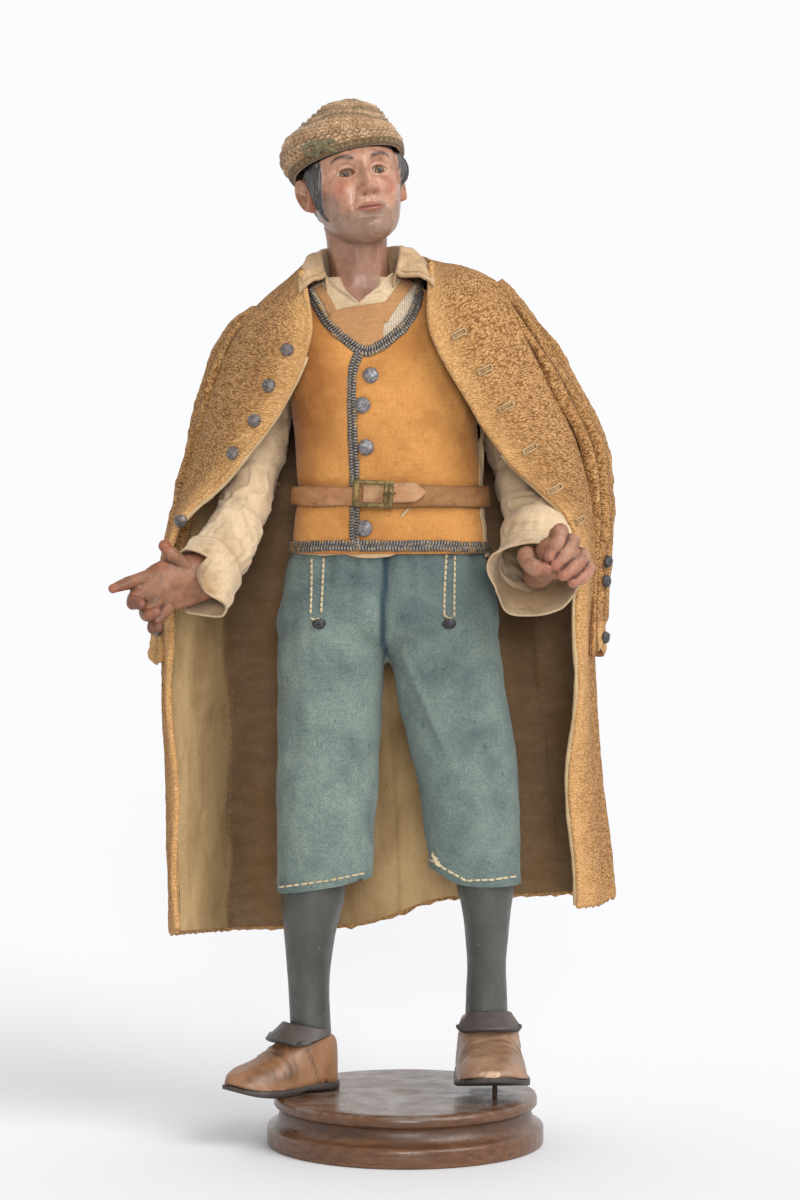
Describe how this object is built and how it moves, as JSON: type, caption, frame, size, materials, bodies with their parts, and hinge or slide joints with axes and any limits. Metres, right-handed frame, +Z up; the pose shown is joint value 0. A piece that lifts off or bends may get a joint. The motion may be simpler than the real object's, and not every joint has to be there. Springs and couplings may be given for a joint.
{
  "type": "presepe figure",
  "caption": "Nativity-scene figure of a peasant in a knitted cap, laced-edge waistcoat, belted breeches and a wool coat hung over the shoulders, on a turned plinth.",
  "frame": {"origin": "centre of the underside of the plinth", "axes": "+Z up; the figure stands facing -Y, with its right hand towards -X and its left towards +X"},
  "size_m": [0.2045, 0.1196, 0.4265],
  "materials": {
    "plinth_wood": "turned wood, dark stain, polished, worn top",
    "iron": "dull rusty wire",
    "painted_leg": "painted wood: grey-green stocking, tan shoe, dark sole",
    "breeches_linen": "faded blue linen, matte, visible weave",
    "shirt_linen": "stained cream linen, matte",
    "waistcoat_cloth": "yellow-orange cloth, matte",
    "metal_braid": "tarnished metal-thread braid, slight sheen",
    "brown_cloth": "brown cloth, matte",
    "leather": "tan leather, worn satin",
    "brass": "tarnished brass",
    "painted_terracotta": "painted terracotta, aged gloss varnish",
    "knit": "knitted wool, matte",
    "coat_wool": "ochre boucle wool with a linen lining, matte",
    "pewter": "dark tarnished pewter, satin"
  },
  "bodies": {
    "root": {"plinth": "plinth_wood", "support_pin": "iron", "leg_right": "painted_leg", "leg_left": "painted_leg", "breeches": "breeches_linen", "shirt": "shirt_linen", "waistcoat": "waistcoat_cloth", "waistcoat_braid": "metal_braid", "braces": "brown_cloth", "belt": "leather", "buckle": "brass", "head": "painted_terracotta", "cap": "knit", "hand_right": "painted_terracotta", "hand_left": "painted_terracotta", "coat": "coat_wool", "waistcoat_button_1": "pewter", "waistcoat_button_2": "pewter", "waistcoat_button_3": "pewter", "waistcoat_button_4": "pewter", "breeches_button_1": "pewter", "breeches_button_2": "pewter", "coat_button_1": "pewter", "coat_button_2": "pewter", "coat_button_3": "pewter", "coat_button_4": "pewter", "coat_button_5": "pewter", "coat_button_6": "pewter", "cuff_button_1": "pewter", "cuff_button_2": "pewter", "cuff_button_3": "pewter"}
  },
  "joints": []
}
